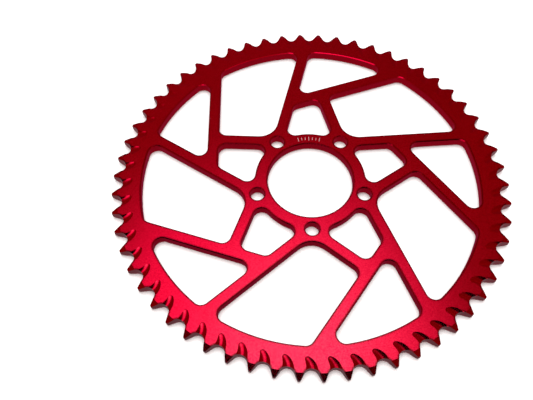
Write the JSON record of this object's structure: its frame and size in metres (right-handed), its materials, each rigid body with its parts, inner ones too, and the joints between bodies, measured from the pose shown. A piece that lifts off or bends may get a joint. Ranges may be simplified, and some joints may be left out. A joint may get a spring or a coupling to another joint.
{
  "type": "rear sprocket",
  "caption": "Flat one-piece rear chain sprocket with swept spokes, hub bore, bolt circle and relief-grooved teeth, in red anodised aluminium.",
  "frame": {"origin": "on the bore axis, in the plane of the underside that sits on the hub", "axes": "+Z along the bore axis, out of the marked face; -Y passes through one hub bolt hole"},
  "size_m": [0.2394, 0.2394, 0.006],
  "materials": {
    "red_anodised_aluminium": "satin anodised",
    "laser_mark": "matt etched"
  },
  "bodies": {
    "root": {"sprocket_plate": "red_anodised_aluminium"}
  },
  "joints": []
}
